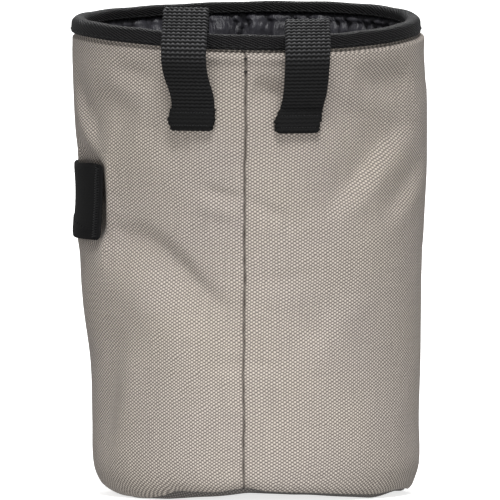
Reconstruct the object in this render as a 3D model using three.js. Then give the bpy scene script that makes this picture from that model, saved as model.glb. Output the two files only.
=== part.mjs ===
// A climbing chalk bag, standing on its base: a soft cloth pot with a bound rim, worn at the back of the waist.
// Millimetres, +Z up. The back of the bag, which carries the belt loops, faces -Y.
// Every ring of cloth is described by two numbers: turn, the angle round the bag from the middle of its back
// towards +X, and up, the share of the wall's height from its bottom hem to its top edge.
import * as THREE from "three";

const degrees = Math.PI / 180;
const sewnGap = 0.3; // the clearance between two pieces that are sewn together

const bag = {
  halfWidth: 59.3, // the widest half, side to side
  halfDepth: 53, // the widest half, back to front
  brushDent: 6, // how far the wall is pushed in behind the brush loop
};

// The rim is the middle line of the binding: an ellipse whose back dips and whose front stands up a little.
const rim = {
  halfWidth: bag.halfWidth * 0.939,
  halfDepth: bag.halfDepth * 0.943,
  shiftX: -1.1, // the rim sits a little to the left of the body
  sideHeight: 156.9, // at the left and right ends
  frontRise: 3.2, // how much the front is higher, and the back lower, than the ends
  sag: 1.1, // how much both dip between the ends
  cornerRise: 1.15, // how much the front's right and the back's left are higher than that
};

const shell = { thickness: 1.0, columns: 64 };
const lining = { thickness: 1.0, columns: 80, gathers: 20, gatherDepth: 2.4, slack: 6.8, floorHeight: 5.2 };
const binding = { height: 5, tape: 1.1 };
const base = { thickness: 1.0 };

// The binding is folded over both cloths, so its slot is as wide as what goes into it.
const slotHalf = (shell.thickness + lining.thickness + 3 * sewnGap) / 2;
const bindingHalf = slotHalf + binding.tape;
const clothEdge = binding.height / 2 - binding.tape - sewnGap; // the cloths' top edge above the rim's middle line
const shellFace = slotHalf - sewnGap; // the shell's outer face from that line
const neckLift = -binding.height / 2 - 0.3; // where both cloths have come in far enough to enter the slot
const swell = 1.8; // how far below that the wall is full again

// Half-widths to the left and right and half-depths to the back and front, as shares of bag's.
const sections = [
  { up: 0.0, left: 0.775, right: 0.9, back: 0.86, front: 0.86 },
  { up: 0.02, left: 0.838, right: 0.926, back: 0.905, front: 0.9 },
  { up: 0.06, left: 0.877, right: 0.955, back: 0.94, front: 0.935 },
  { up: 0.15, left: 0.883, right: 0.957, back: 0.955, front: 0.955 },
  { up: 0.28, left: 0.899, right: 0.961, back: 0.965, front: 0.972 },
  { up: 0.4, left: 0.937, right: 0.964, back: 0.975, front: 0.988 },
  { up: 0.53, left: 0.968, right: 0.983, back: 0.985, front: 1.0 },
  { up: 0.63, left: 0.961, right: 0.993, back: 0.99, front: 1.0 },
  { up: 0.72, left: 0.973, right: 1.0, back: 0.99, front: 0.995 },
  { up: 0.82, left: 0.988, right: 1.0, back: 0.988, front: 0.99 },
  { up: 0.92, left: 0.995, right: 0.99, back: 0.985, front: 0.985 },
  { up: 1.0, left: 0.995, right: 0.98, back: 0.982, front: 0.98 },
];

// How high the wall's hem and the base's edge stand off the ground round the bag, as shares of hemLift. The bag
// stands on the low places of its base at the two back corners and at the middle of the front.
const hemLift = 4.6;
const hemRows = [
  { turn: -180, hem: 0.15, base: 0.0 },
  { turn: -165, hem: 0.16, base: 0.06 },
  { turn: -90, hem: 0.24, base: 0.12 },
  { turn: -69, hem: 0.11, base: 0.06 },
  { turn: -58, hem: 0.1, base: 0.0 },
  { turn: -47, hem: 0.11, base: 0.06 },
  { turn: -38, hem: 0.32, base: 0.1 },
  { turn: -32, hem: 0.65, base: 0.18 },
  { turn: -24, hem: 0.67, base: 0.3 },
  { turn: -13, hem: 0.7, base: 0.42 },
  { turn: -1, hem: 1.0, base: 0.68 },
  { turn: 6, hem: 0.77, base: 0.76 },
  { turn: 22, hem: 0.61, base: 0.6 },
  { turn: 43, hem: 0.4, base: 0.36 },
  { turn: 51, hem: 0.16, base: 0.08 },
  { turn: 58, hem: 0.13, base: 0.0 },
  { turn: 67, hem: 0.14, base: 0.06 },
  { turn: 90, hem: 0.2, base: 0.12 },
  { turn: 165, hem: 0.16, base: 0.06 },
  { turn: 180, hem: 0.15, base: 0.0 },
];

// Folds and dents of the wall. Each is a soft trough centred at turn and up, running at tilt degrees above level.
// long and wide are its half-length and half-width as shares of wallHeight, and deep is a share of foldDepth.
const wallHeight = rim.sideHeight + clothEdge;
const foldDepth = 2.0;
const folds = [
  { name: "left diagonal crease", turn: -30, up: 0.48, tilt: -28, long: 0.17, wide: 0.03, deep: 0.85 },
  { name: "pucker across the seam", turn: -6, up: 0.635, tilt: 4, long: 0.08, wide: 0.022, deep: 0.5 },
  { name: "lower pucker", turn: 12, up: 0.47, tilt: 0, long: 0.12, wide: 0.025, deep: 0.3 },
  { name: "crease right of the loop", turn: 47, up: 0.795, tilt: -22, long: 0.13, wide: 0.03, deep: 0.8 },
  { name: "right shoulder dent", turn: 52, up: 0.9, tilt: 0, long: 0.09, wide: 0.035, deep: 0.6 },
  { name: "right diagonal valley", turn: 40, up: 0.62, tilt: 48, long: 0.12, wide: 0.035, deep: 0.6 },
  { name: "left shoulder dent", turn: -48, up: 0.9, tilt: -18, long: 0.1, wide: 0.035, deep: 0.6 },
  { name: "left upper dent", turn: -62, up: 0.8, tilt: 30, long: 0.08, wide: 0.05, deep: 0.8 },
  { name: "front hollow", turn: 170, up: 0.55, tilt: 12, long: 0.2, wide: 0.07, deep: 0.8 },
  { name: "front crease", turn: 120, up: 0.4, tilt: -35, long: 0.15, wide: 0.04, deep: 0.7 },
];

// The seam at the middle of the back is a narrow groove.
const seam = { turn: -1.6, halfWidth: 1.3, depth: 0.5 };

// Belt loops of flat webbing. Each rises from inside the rim, turns over it and is sewn to the wall below.
const webbing = { width: 15.7, sewnWidth: 14.2, thickness: 1.4 };
const beltLoop = {
  stand: 6, // clear space between the binding and the loop, where a belt goes
  sewnLength: 7, // the doubled end that is stitched to the wall
  sewnDrop: 30, // the lowest end below the rim's middle line
  innerDrop: 13, // the inner end below the rim's middle line
  stations: 26,
};
const beltLoops = [
  { name: "belt_loop_left", x: -21, lean: 2.4, rise: 9.7, knee: -3.2 },
  { name: "belt_loop_right", x: 19.4, lean: -2.9, rise: 6.7, knee: -5.2 },
];

// The brush loop is a band of wide elastic sewn flat at both ends, round the left side.
const brushLoop = { height: 25.3, thickness: 1.2, middle: 98.4, startTurn: -113, endTurn: -57, columns: 16 };

const mix = THREE.MathUtils.lerp;
const smooth = THREE.MathUtils.smoothstep;
const wrap = (angle) => THREE.MathUtils.euclideanModulo(angle + 180, 360) - 180;

// Reads one column of a table at x, along a smooth curve through its rows.
function readTable(rows, key, column, x) {
  const last = rows.length - 1;
  let i = rows.findIndex((row) => row[key] > x) - 1;
  if (i === -2) i = last - 1;
  i = THREE.MathUtils.clamp(i, 0, last - 1);
  const [before, a, b, after] = [rows[Math.max(i - 1, 0)], rows[i], rows[i + 1], rows[Math.min(i + 2, last)]];
  const span = b[key] - a[key];
  const slopeA = (b[column] - before[column]) / (b[key] - before[key]);
  const slopeB = (after[column] - a[column]) / (after[key] - a[key]);
  const t = (x - a[key]) / span;
  const hump = t * t * (3 - 2 * t);
  const fromA = t * (1 - t) * (1 - t) * span * slopeA;
  const fromB = t * t * (t - 1) * span * slopeB;
  return mix(a[column], b[column], hump) + fromA + fromB;
}

function rimHeight(turn) {
  const forward = -Math.cos(turn * degrees);
  const right = Math.sin(turn * degrees);
  const lift = rim.frontRise * forward - rim.sag * forward * forward + rim.cornerRise * forward * right;
  return rim.sideHeight + lift;
}

// A point at a distance out from the rim's middle line, and lift above it.
function rimPoint(turn, out, lift) {
  const angle = turn * degrees;
  const normal = new THREE.Vector2(Math.sin(angle) / rim.halfWidth, -Math.cos(angle) / rim.halfDepth).normalize();
  return new THREE.Vector3(
    rim.shiftX + rim.halfWidth * Math.sin(angle) + normal.x * out,
    -rim.halfDepth * Math.cos(angle) + normal.y * out,
    rimHeight(turn) + lift,
  );
}

const hemHeight = (turn) => hemLift * readTable(hemRows, "turn", "hem", wrap(turn));
const baseHeight = (turn) => hemLift * Math.max(0, readTable(hemRows, "turn", "base", wrap(turn)));
const edgeHeight = (turn) => rimHeight(turn) + clothEdge;
const upAt = (turn, z) => (z - hemHeight(turn)) / (edgeHeight(turn) - hemHeight(turn));

// The outer face of the wall before any fold: the body's sections, drawn in under the binding at the neck.
function smoothWall(turn, up) {
  const angle = turn * degrees;
  const side = Math.sin(angle) < 0 ? "left" : "right";
  const face = Math.cos(angle) < 0 ? "front" : "back";
  const z = mix(hemHeight(turn), edgeHeight(turn), up);
  const point = new THREE.Vector3(
    bag.halfWidth * readTable(sections, "up", side, up) * Math.sin(angle),
    -bag.halfDepth * readTable(sections, "up", face, up) * Math.cos(angle),
    z,
  );
  const neck = smooth(z - rimHeight(turn), neckLift - swell, neckLift);
  return point.lerp(rimPoint(turn, shellFace, z - rimHeight(turn)), neck);
}

function wallNormal(turn, up) {
  const round = smoothWall(turn + 0.5, up).sub(smoothWall(turn - 0.5, up));
  const high = Math.min(up + 0.004, 1);
  const rise = smoothWall(turn, high).sub(smoothWall(turn, high - 0.008));
  return round.cross(rise).normalize();
}

// How far the folds push the wall in at a place.
function foldAt(turn, up) {
  const edges = smooth(up, 0.02, 0.08) * (1 - smooth(up, 0.92, 0.965));
  let push = 0;
  for (const fold of folds) {
    const across = (wrap(turn - fold.turn) * degrees * (bag.halfWidth + bag.halfDepth)) / 2;
    const rise = (up - fold.up) * wallHeight;
    const along = across * Math.cos(fold.tilt * degrees) + rise * Math.sin(fold.tilt * degrees);
    const off = rise * Math.cos(fold.tilt * degrees) - across * Math.sin(fold.tilt * degrees);
    const fade = (along / (fold.long * wallHeight)) ** 2 + (off / (fold.wide * wallHeight)) ** 2;
    push += foldDepth * fold.deep * Math.exp(-fade);
  }
  const groove = seam.depth * (1 - smooth(Math.abs(wrap(turn - seam.turn)), 0, seam.halfWidth));
  return push * edges + groove * edges + brushDentAt(turn, up);
}

// The dent that leaves room for a brush handle reaches a little above and below the loop.
function brushDentAt(turn, up) {
  const z = mix(hemHeight(turn), edgeHeight(turn), up);
  const halfHeight = brushLoop.height / 2;
  const off = Math.abs(z - brushLoop.middle);
  const level = 1 - smooth(off, halfHeight * 0.4, halfHeight * 1.4);
  const middle = mix(brushLoop.startTurn, brushLoop.endTurn, 0.7);
  const halfSpan = (brushLoop.endTurn - brushLoop.startTurn) / 2;
  const round = 1 - smooth(Math.abs(wrap(turn - middle)), halfSpan * 0.16, halfSpan * 0.66);
  return bag.brushDent * level * round;
}

// A point of the folded wall, a given depth inside its outer face.
function wallPoint(turn, up, depth) {
  return smoothWall(turn, up).addScaledVector(wallNormal(turn, up), -(depth + foldAt(turn, up)));
}

function evenTurns(count, start = -180, end = 180) {
  return Array.from({ length: count }, (_, i) => mix(start, end, i / count));
}

function solidFrom(points, faces, name, look) {
  const geometry = new THREE.BufferGeometry();
  geometry.setAttribute("position", new THREE.Float32BufferAttribute(points.flatMap((p) => [p.x, p.y, p.z]), 3));
  geometry.setIndex(faces.flat());
  geometry.computeVertexNormals();
  const mesh = new THREE.Mesh(geometry, new THREE.MeshStandardMaterial({ metalness: 0, ...look }));
  mesh.name = name;
  return mesh;
}

// Joins loops of equal length, one after another. Their points run anticlockwise seen against the direction of travel.
function joinLoops(loops, closed) {
  const size = loops[0].length;
  const count = loops.length;
  const faces = [];
  for (let i = 0; i < (closed ? count : count - 1); i++) {
    for (let j = 0; j < size; j++) {
      const [a, b] = [i * size + j, i * size + ((j + 1) % size)];
      const [c, d] = [((i + 1) % count) * size + j, ((i + 1) % count) * size + ((j + 1) % size)];
      faces.push([a, b, c], [b, d, c]);
    }
  }
  return faces;
}

// A ring of cloth: a closed profile carried round the bag.
function ringSolid(turns, profileAt, name, look) {
  const loops = turns.map(profileAt);
  return solidFrom(loops.flat(), joinLoops(loops, true), name, look);
}

// A pot of cloth: an open profile from the axis below to the axis above, carried round the bag.
function potSolid(turns, profileAt, bottom, top, name, look) {
  const profiles = turns.map(profileAt);
  const size = profiles[0].length;
  const count = profiles.length;
  const points = [...profiles.flat(), bottom, top];
  const faces = [];
  for (let i = 0; i < count; i++) {
    const next = (i + 1) % count;
    for (let j = 0; j < size - 1; j++) {
      const [a, b, c, d] = [i * size + j, i * size + j + 1, next * size + j, next * size + j + 1];
      faces.push([a, c, b], [b, c, d]);
    }
    faces.push([count * size, next * size, i * size]);
    faces.push([count * size + 1, (i + 1) * size - 1, (next + 1) * size - 1]);
  }
  return solidFrom(points, faces, name, look);
}

// A flat band: pairs of rows of points, the outer face and the inner face, joined along its length.
function bandSolid(stations, name, look) {
  const width = stations[0].outer.length;
  const loops = stations.map(({ outer, inner }) => [...inner, ...[...outer].reverse()]);
  const size = 2 * width;
  const faces = joinLoops(loops, false);
  for (let j = 0; j < width - 1; j++) {
    const [a, b, c, d] = [j, j + 1, size - 2 - j, size - 1 - j];
    faces.push([a, c, b], [a, d, c]);
    const end = (loops.length - 1) * size;
    faces.push([end + a, end + b, end + c], [end + a, end + c, end + d]);
  }
  return solidFrom(loops.flat(), faces, name, look);
}

// The shell: one coarse woven panel, closed by the seam at the back.
const wallShares = [0, 0.02, 0.05, 0.11, 0.22, 0.32, 0.42, 0.5, 0.57, 0.64, 0.7, 0.77, 0.84, 0.92, 1];

// The levels of a cloth's rings at a turn: shares of the height up to the swell, then two at the neck and the edge.
function ringUps(turn, shares) {
  const swellUp = upAt(turn, rimHeight(turn) + neckLift - swell);
  return [...shares.map((share) => share * swellUp), upAt(turn, rimHeight(turn) + neckLift), 1];
}

function shellTurns() {
  const turns = evenTurns(shell.columns - 2).filter((turn) => Math.abs(turn - seam.turn) > seam.halfWidth * 1.5);
  for (const step of [-1, 0, 1]) turns.push(seam.turn + step * seam.halfWidth);
  return turns.sort((a, b) => a - b);
}

function shellProfile(turn) {
  const ups = ringUps(turn, wallShares);
  const outer = ups.map((up) => wallPoint(turn, up, 0));
  const inner = ups.map((up) => wallPoint(turn, up, shell.thickness));
  return [...outer, ...inner.reverse()].reverse();
}

// The base: a disc whose edge is turned up inside the wall as its seam allowance, as far as the wall's third ring.
function basePoint(turn, share, z) {
  const hem = smoothWall(turn, 0);
  return new THREE.Vector3(hem.x * share, hem.y * share, z);
}

function baseProfile(turn) {
  const lift = baseHeight(turn);
  const [, low, high] = ringUps(turn, wallShares);
  const outside = shell.thickness + sewnGap;
  const inside = outside + base.thickness;
  return [
    basePoint(turn, 0.4, 0),
    basePoint(turn, 0.86, lift * 0.5),
    basePoint(turn, 0.945, lift),
    wallPoint(turn, low * 0.2, outside),
    wallPoint(turn, low, outside),
    wallPoint(turn, high, outside),
    wallPoint(turn, high, inside),
    wallPoint(turn, low, inside + 0.4),
    basePoint(turn, 0.84, lift * 0.5 + base.thickness),
    basePoint(turn, 0.4, base.thickness),
  ];
}

// The lining: a thin pouch that is caught in the binding, puckers below it and hangs clear of the wall's dents.
const pouchShares = [0.06, 0.12, 0.4, 0.64, 0.82, 0.93, 1];
const hangRows = [
  { up: 0, slack: 0.5 },
  { up: 0.12, slack: 0.55 },
  { up: 0.4, slack: 0.7 },
  { up: 0.62, slack: 1.0 },
  { up: 0.8, slack: 0.75 },
  { up: 0.92, slack: 0.42 },
  { up: 0.955, slack: 0.25 },
  { up: 0.975, slack: 0 },
  { up: 1, slack: 0 },
];

// The gathers lie flat where a belt loop's inner end is sewn over them.
function gatherAt(turn, up) {
  const wave = 0.5 + 0.5 * Math.cos(turn * degrees * lining.gathers);
  const level = smooth(1 - up, 0.02, 0.07) * (1 - 0.75 * smooth(1 - up, 0.12, 0.5));
  let flat = 1;
  for (const loop of beltLoops) {
    const off = Math.abs(wrap(turn - loopTurn(loop)));
    const high = smooth(up, 0.82, 0.88);
    flat *= 1 - high * (1 - smooth(off, 10, 15));
  }
  return lining.gatherDepth * wave * level * flat;
}

function liningPoint(turn, up, extra) {
  const hang = lining.slack * Math.max(0, readTable(hangRows, "up", "slack", up));
  const inward = shell.thickness + sewnGap + hang + gatherAt(turn, up) + extra;
  return smoothWall(turn, up).addScaledVector(wallNormal(turn, up), -inward);
}

function liningProfile(turn) {
  const floor = lining.floorHeight;
  const ups = ringUps(turn, pouchShares);
  const outer = ups.map((up) => liningPoint(turn, up, 0));
  const inner = ups.map((up) => liningPoint(turn, up, lining.thickness));
  return [
    basePoint(turn, 0.5, floor),
    basePoint(turn, 0.86, floor),
    ...outer,
    ...inner.reverse(),
    basePoint(turn, 0.84, floor + lining.thickness),
    basePoint(turn, 0.5, floor + lining.thickness),
  ];
}

// The binding: tape folded over the cloths' top edges, a round-backed U with its slot open below.
const bindingShape = [
  { out: 1, lift: -1 },
  { out: 1, lift: 0.25 },
  { out: 0.72, lift: 0.8 },
  { out: 0, lift: 1 },
  { out: -0.72, lift: 0.8 },
  { out: -1, lift: 0.25 },
  { out: -1, lift: -1 },
];

function bindingProfile(turn) {
  const halfHeight = binding.height / 2;
  const roof = halfHeight - binding.tape;
  const outside = bindingShape.map((row) => rimPoint(turn, row.out * bindingHalf, row.lift * halfHeight));
  const slot = [
    rimPoint(turn, -slotHalf, -halfHeight),
    rimPoint(turn, -slotHalf, roof),
    rimPoint(turn, slotHalf, roof),
    rimPoint(turn, slotHalf, -halfHeight),
  ];
  return [...outside, ...slot].reverse();
}

// The turn at which the rim is at a belt loop's place across the bag.
const loopTurn = (loop) => Math.asin((loop.x - rim.shiftX) / rim.halfWidth) / degrees;

// A loop's own frame: out is away from the bag, side runs along the rim towards +X, and origin is on the rim.
function loopFrame(loop) {
  const turn = loopTurn(loop);
  const origin = rimPoint(turn, 0, 0);
  const out = rimPoint(turn, 1, 0).sub(origin);
  const side = new THREE.Vector3(0, 0, 1).cross(out);
  const radius = Math.hypot(rim.halfWidth * Math.cos(turn * degrees), rim.halfDepth * Math.sin(turn * degrees));
  return { turn, origin, out, side, radius };
}

// The nearest a loop may come to the bag at a width and lift, outside it and inside it.
function nearest(frame, width, lift) {
  let turn = frame.turn;
  for (let i = 0; i < 3; i++) {
    const across = smoothWall(turn, upAt(turn, frame.origin.z + lift)).sub(frame.origin).dot(frame.side);
    turn += (width - across) / frame.radius / degrees;
  }
  const up = upAt(turn, frame.origin.z + lift);
  const outFrom = (point) => point.sub(frame.origin).dot(frame.out);
  const beside = frame.origin.z + lift > rimHeight(turn) + neckLift;
  const outside = beside ? rimPoint(turn, bindingHalf, 0) : wallPoint(turn, up, 0);
  const inside = beside ? rimPoint(turn, -bindingHalf, 0) : liningPoint(turn, up, lining.thickness);
  return { outside: outFrom(outside) + sewnGap, inside: outFrom(inside) - sewnGap };
}

// The middle line of the webbing in the loop's frame: x is out, y is lift, z is half its thickness there.
function loopPath(loop, frame) {
  const half = webbing.thickness / 2;
  const doubled = webbing.thickness;
  const sewnTop = -beltLoop.sewnDrop + beltLoop.sewnLength;
  const knee = bindingHalf + beltLoop.stand + half;
  const inner = -bindingHalf - sewnGap - half;
  const innerEnd = nearest(frame, 0, -beltLoop.innerDrop).inside - half;
  const onWall = (lift) => nearest(frame, loopSlide(loop, frame, knee, lift), lift).outside + doubled;
  return new THREE.CatmullRomCurve3(
    [
      new THREE.Vector3(innerEnd, -beltLoop.innerDrop, half),
      new THREE.Vector3(mix(innerEnd, inner, 0.7), -beltLoop.innerDrop * 0.5, half),
      new THREE.Vector3(inner - 0.5, 0, half),
      new THREE.Vector3(inner - 0.2, loop.rise * 0.55, half),
      new THREE.Vector3(-bindingHalf * 0.35, loop.rise, half),
      new THREE.Vector3(bindingHalf * 1.15, loop.rise * 0.62, half),
      new THREE.Vector3(knee, loop.knee, half),
      new THREE.Vector3(mix(knee, onWall(sewnTop), 0.55), mix(loop.knee, sewnTop, 0.6), half),
      new THREE.Vector3(onWall(sewnTop), sewnTop, doubled),
      new THREE.Vector3(onWall(-beltLoop.sewnDrop), -beltLoop.sewnDrop, doubled),
    ],
    false,
    "centripetal",
  );
}

// How far a loop has moved along the rim at a place of its path: it keeps its place across the bag, so it slides
// along the rim as it comes out, and leans in towards the seam on its way down.
function loopSlide(loop, frame, out, lift) {
  const lean = out > 0 ? loop.lean * smooth(-lift, -loop.rise, beltLoop.sewnDrop) : 0;
  return (lean - out * frame.out.x) / frame.side.x;
}

function beltLoopSolid(loop, look) {
  const frame = loopFrame(loop);
  const path = loopPath(loop, frame);
  const curl = (2 * rim.halfWidth * rim.halfWidth) / rim.halfDepth;
  const stations = Array.from({ length: beltLoop.stations }, (_, i) => {
    const middle = path.getPoint(i / (beltLoop.stations - 1));
    const tangent = path.getTangent(i / (beltLoop.stations - 1));
    const normal = new THREE.Vector2(-tangent.y, tangent.x).normalize();
    const outside = middle.x > 0;
    const narrowed = outside ? smooth(-middle.y, -loop.knee, beltLoop.sewnDrop) : 0;
    const halfWidth = mix(webbing.width, webbing.sewnWidth, narrowed) / 2;
    const widths = [-1, -0.5, 0, 0.5, 1].map((share) => share * halfWidth);
    // face is 0 on the side towards the bag and 1 on the side away from it.
    const place = (width, face) => {
      const across = width + loopSlide(loop, frame, middle.x, middle.y);
      const offset = (2 * face - 1) * middle.z;
      const free = middle.x + normal.x * offset - (width * width) / curl;
      const thick = 2 * middle.z * face;
      const limit = nearest(frame, across, middle.y);
      const pressed = outside ? Math.max(free, limit.outside + thick) : Math.min(free, limit.inside - thick);
      return frame.origin
        .clone()
        .addScaledVector(frame.side, across)
        .addScaledVector(frame.out, middle.y < neckLift ? pressed : free)
        .add(new THREE.Vector3(0, 0, middle.y + normal.y * offset));
    };
    return {
      outer: widths.map((width) => place(width, 1)),
      inner: widths.map((width) => place(width, 0)),
    };
  });
  return bandSolid(stations, loop.name, look);
}

// The brush loop follows the wall as it would be without the dent.
function brushLoopSolid(look) {
  const turns = Array.from({ length: brushLoop.columns + 1 }, (_, i) =>
    mix(brushLoop.startTurn, brushLoop.endTurn, i / brushLoop.columns),
  );
  const rows = [-1, -0.5, 0, 0.5, 1].map((share) => brushLoop.middle + (share * brushLoop.height) / 2);
  const face = (turn, out) =>
    rows.map((z) => {
      const up = upAt(turn, z);
      const pushed = foldAt(turn, up) - brushDentAt(turn, up);
      return smoothWall(turn, up).addScaledVector(wallNormal(turn, up), out - pushed);
    });
  const stations = turns.map((turn) => ({
    outer: face(turn, sewnGap + brushLoop.thickness),
    inner: face(turn, sewnGap),
  }));
  return bandSolid(stations, "brush_loop", look);
}

const stone = { color: 0xa9a196, roughness: 0.85 };
const blackTape = { color: 0x232324, roughness: 0.8 };
const blackWebbing = { color: 0x29292a, roughness: 0.7 };
const charcoal = { color: 0x302f34, roughness: 0.5 };
const darkBase = { color: 0x3a3836, roughness: 0.85 };

const pieces = new THREE.Group();
pieces.add(ringSolid(shellTurns(), shellProfile, "shell_wall", stone));
const baseMiddles = [new THREE.Vector3(0, 0, 0), new THREE.Vector3(0, 0, base.thickness)];
pieces.add(potSolid(shellTurns(), baseProfile, ...baseMiddles, "base_panel", darkBase));
const floorMiddles = [0, lining.thickness].map((rise) => new THREE.Vector3(0, 0, lining.floorHeight + rise));
pieces.add(potSolid(evenTurns(lining.columns), liningProfile, ...floorMiddles, "lining", charcoal));
pieces.add(ringSolid(evenTurns(shell.columns), bindingProfile, "rim_binding", blackTape));
for (const loop of beltLoops) pieces.add(beltLoopSolid(loop, blackWebbing));
pieces.add(brushLoopSolid(blackTape));

// The part's origin is under the middle of everything, on the ground.
const extent = new THREE.Box3().setFromObject(pieces);
const middle = extent.getCenter(new THREE.Vector3());
pieces.position.set(-middle.x, -middle.y, -extent.min.z);

const chalkBag = new THREE.Group();
chalkBag.add(pieces);

export default chalkBag;
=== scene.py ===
import bpy
import numpy as np
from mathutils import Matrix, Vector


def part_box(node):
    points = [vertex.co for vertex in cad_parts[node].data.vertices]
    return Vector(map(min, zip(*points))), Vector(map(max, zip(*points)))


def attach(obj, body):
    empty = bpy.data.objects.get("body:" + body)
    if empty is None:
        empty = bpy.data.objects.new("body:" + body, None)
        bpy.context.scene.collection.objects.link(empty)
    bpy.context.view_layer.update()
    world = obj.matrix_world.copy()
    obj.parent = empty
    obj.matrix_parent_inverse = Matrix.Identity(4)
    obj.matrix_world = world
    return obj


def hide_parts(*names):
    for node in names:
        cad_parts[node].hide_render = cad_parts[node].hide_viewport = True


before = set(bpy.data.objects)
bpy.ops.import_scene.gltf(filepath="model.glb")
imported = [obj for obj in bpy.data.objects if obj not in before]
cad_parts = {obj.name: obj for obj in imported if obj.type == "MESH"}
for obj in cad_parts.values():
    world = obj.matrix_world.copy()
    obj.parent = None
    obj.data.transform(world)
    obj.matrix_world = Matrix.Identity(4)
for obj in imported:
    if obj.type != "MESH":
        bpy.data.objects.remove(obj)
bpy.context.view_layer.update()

# The wall
# One panel of coarse coated polyester, bent round into a pot and closed by a seam at the middle of the back.
# Its hem is sewn to the base and its top edge is caught in the binding. It creases wherever it is pulled.

# Sizes are in millimetres. A place on the cloth is its turn, in degrees round from the middle of the back
# towards +X, and its up, the share of the wall's height from the hem to the top edge.
body_half_width = 59.3
body_half_depth = 53.0
rim_half_width = 0.939 * body_half_width
rim_half_depth = 0.943 * body_half_depth
rim_shift = -1.1
cloth = 1.0
sewn_gap = 0.3
binding_height = 5.0
binding_tape = 1.1
slot_half = 1.45
binding_half = slot_half + binding_tape
cloth_edge = binding_height / 2 - binding_tape - sewn_gap
shell_face = slot_half - sewn_gap
neck_lift = -binding_height / 2 - 0.3
swell = 1.8
hem_lift = 4.6
wall_height = 158.0
mean_radius = 56.15

wall_rows = np.array([  # up, left, right, back, front
    [0.0, 0.775, 0.9, 0.922, 0.86],
    [0.02, 0.838, 0.926, 0.943, 0.9],
    [0.06, 0.877, 0.955, 0.956, 0.935],
    [0.15, 0.883, 0.957, 0.963, 0.955],
    [0.28, 0.899, 0.961, 0.967, 0.972],
    [0.4, 0.937, 0.964, 0.975, 0.988],
    [0.53, 0.968, 0.983, 0.985, 1.0],
    [0.63, 0.961, 0.993, 0.99, 1.0],
    [0.72, 0.973, 1.0, 0.99, 0.995],
    [0.82, 0.988, 1.0, 0.988, 0.99],
    [0.92, 0.995, 0.99, 0.985, 0.985],
    [1.0, 0.995, 0.98, 0.982, 0.98],
])
hem_rows = np.array([  # turn, how high the hem is, how high the base's edge is
    [-180, 0.1, 0.0],
    [-165, 0.12, 0.06],
    [-90, 0.24, 0.12],
    [-69, 0.06, 0.06],
    [-58, 0.03, 0.0],
    [-47, 0.05, 0.06],
    [-38, 0.32, 0.1],
    [-32, 0.65, 0.18],
    [-24, 0.67, 0.3],
    [-13, 0.7, 0.42],
    [-1, 1.0, 0.68],
    [6, 0.77, 0.83],
    [22, 0.61, 0.69],
    [43, 0.36, 0.38],
    [51, 0.3, 0.08],
    [58, 0.36, 0.1],
    [67, 0.46, 0.28],
    [78, 0.42, 0.34],
    [92, 0.24, 0.14],
    [165, 0.12, 0.06],
    [180, 0.1, 0.0],
])

binding_low, binding_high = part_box("rim_binding")
to_frame = np.array(
    [
        (binding_low.x + binding_high.x) * 500 - rim_shift,
        (binding_low.y + binding_high.y) * 500,
        0.0,
    ]
)


def smoothstep(x, start, end):
    t = np.clip((x - start) / (end - start), 0, 1)
    return t * t * (3 - 2 * t)


def curve_through(places, values, x):
    """Reads a table at x, along a smooth curve through its rows."""
    x = np.asarray(x, float)
    last = len(places) - 1
    i = np.clip(np.searchsorted(places, x, side="right") - 1, 0, last - 1)
    before = np.maximum(i - 1, 0)
    after = np.minimum(i + 2, last)
    span = places[i + 1] - places[i]
    slope_a = (values[i + 1] - values[before]) / (places[i + 1] - places[before])
    slope_b = (values[after] - values[i]) / (places[after] - places[i])
    t = (x - places[i]) / span
    hump = t * t * (3 - 2 * t)
    from_a = t * (1 - t) ** 2 * span * slope_a
    from_b = t * t * (t - 1) * span * slope_b
    return values[i] + (values[i + 1] - values[i]) * hump + from_a + from_b


def wrapped(turn):
    return (turn + 180) % 360 - 180


def rim_height(turn):
    forward = -np.cos(np.radians(turn))
    right = np.sin(np.radians(turn))
    far_side = 0.8 * np.maximum(forward, 0) ** 2
    return 156.9 + 3.2 * forward - 1.1 * forward**2 + 1.15 * forward * right + far_side


def unit(vectors):
    return vectors / np.linalg.norm(vectors, axis=-1, keepdims=True)


def rim_point(turn, out, lift):
    """A point at a distance out from the rim's middle line, and lift above it."""
    angle = np.radians(turn)
    normal = unit(np.stack([np.sin(angle) / rim_half_width, -np.cos(angle) / rim_half_depth], -1))
    x = rim_shift + rim_half_width * np.sin(angle) + normal[..., 0] * out
    y = -rim_half_depth * np.cos(angle) + normal[..., 1] * out
    z = rim_height(turn) + lift
    return np.stack(np.broadcast_arrays(x, y, z), -1)


def hem_height(turn):
    return hem_lift * curve_through(hem_rows[:, 0], hem_rows[:, 1], wrapped(turn))


def edge_height(turn):
    return rim_height(turn) + cloth_edge


def height_at(turn, up):
    return hem_height(turn) + (edge_height(turn) - hem_height(turn)) * up


def up_at(turn, z):
    return (z - hem_height(turn)) / (edge_height(turn) - hem_height(turn))


def smooth_wall(turn, up):
    """The wall's outer face before any crease, drawn in under the binding at the neck."""
    turn, up = np.broadcast_arrays(turn, up)
    angle = np.radians(turn)
    shares = [curve_through(wall_rows[:, 0], wall_rows[:, k], up) for k in range(1, 5)]
    wide = np.where(np.sin(angle) < 0, shares[0], shares[1])
    deep = np.where(np.cos(angle) < 0, shares[3], shares[2])
    z = height_at(turn, up)
    x = body_half_width * wide * np.sin(angle)
    y = -body_half_depth * deep * np.cos(angle)
    neck = smoothstep(z - rim_height(turn), neck_lift - swell, neck_lift)[..., None]
    inside = rim_point(turn, shell_face, z - rim_height(turn))
    return np.stack([x, y, z], -1) * (1 - neck) + inside * neck


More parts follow.
